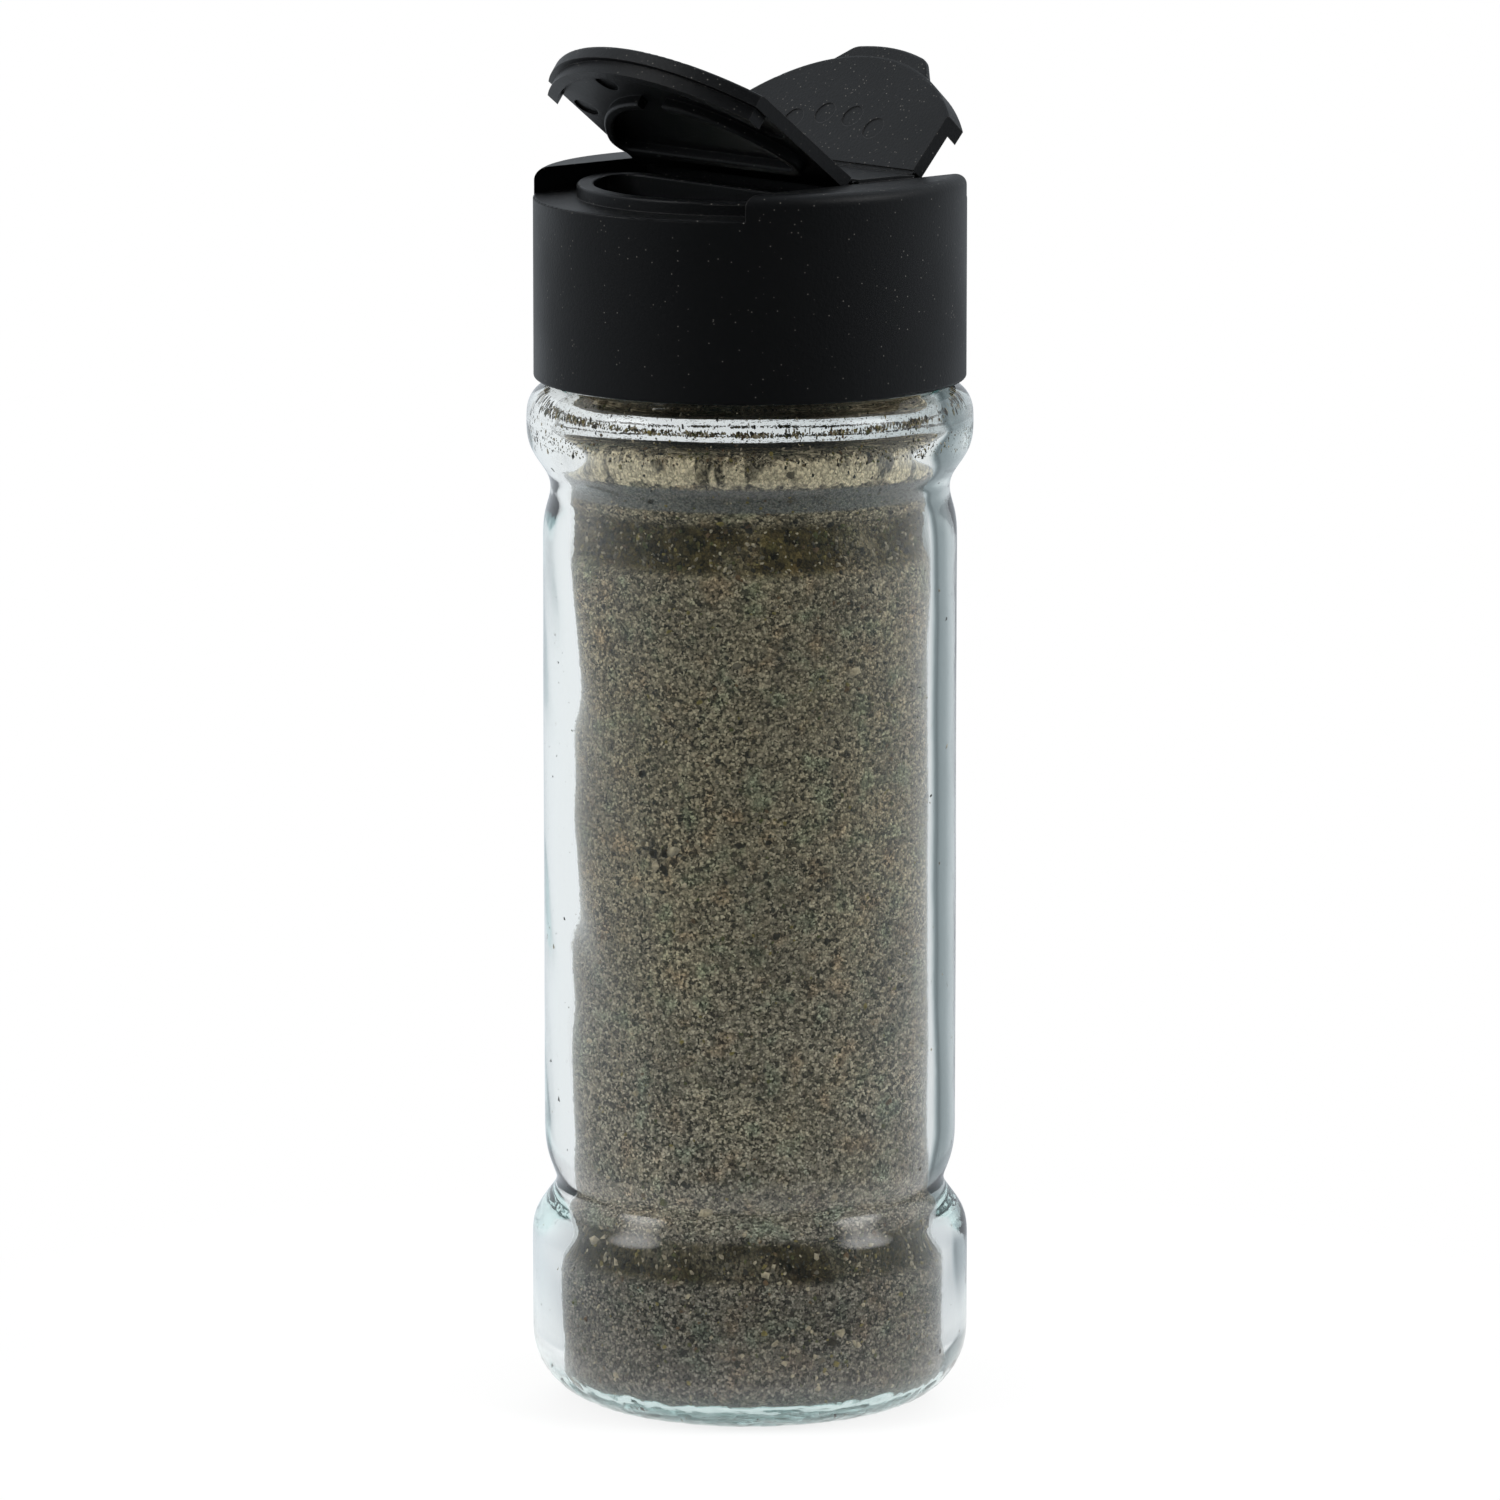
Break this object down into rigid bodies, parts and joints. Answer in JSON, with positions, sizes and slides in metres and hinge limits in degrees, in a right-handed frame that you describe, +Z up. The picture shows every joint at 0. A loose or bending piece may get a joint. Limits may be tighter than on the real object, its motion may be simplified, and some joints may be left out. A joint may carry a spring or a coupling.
{
  "type": "spice jar",
  "caption": "Round glass spice jar filled with ground pepper, under a smooth black cap with a flap over a pour opening and a flap over sifter holes.",
  "frame": {"origin": "centre of the jar's base, on the surface it stands on", "axes": "+Z up along the jar's axis; both hinge lines run along Y; -X towards the pour flap, +X towards the sprinkle flap"},
  "size_m": [0.0446, 0.0446, 0.1376],
  "materials": {
    "clear_glass": "clear, smooth, faintly green",
    "ground_pepper": "ground pepper, grey-brown with dark and pale grains",
    "black_plastic": "moulded, fine satin grain"
  },
  "bodies": {
    "jar": {"glass_jar": "clear_glass", "ground_pepper": "ground_pepper"},
    "cap": {"cap": "black_plastic"},
    "pour_flap": {"pour_flap": "black_plastic"},
    "sprinkle_flap": {"sprinkle_flap": "black_plastic"}
  },
  "joints": [
    {"name": "cap_lift", "type": "slide", "parent": "jar", "child": "cap", "axis": [0, 0, 1], "range_m": [0, 0.025]},
    {"name": "pour_flap_hinge", "type": "hinge", "parent": "cap", "child": "pour_flap", "pos_m": [-0.00025, 0, 0.1243], "axis": [0, 1, 0], "range_deg": [-37.5, 62.5]},
    {"name": "sprinkle_flap_hinge", "type": "hinge", "parent": "cap", "child": "sprinkle_flap", "pos_m": [0.0081, 0, 0.1243], "axis": [0, -1, 0], "range_deg": [-47.5, 52.5]}
  ]
}
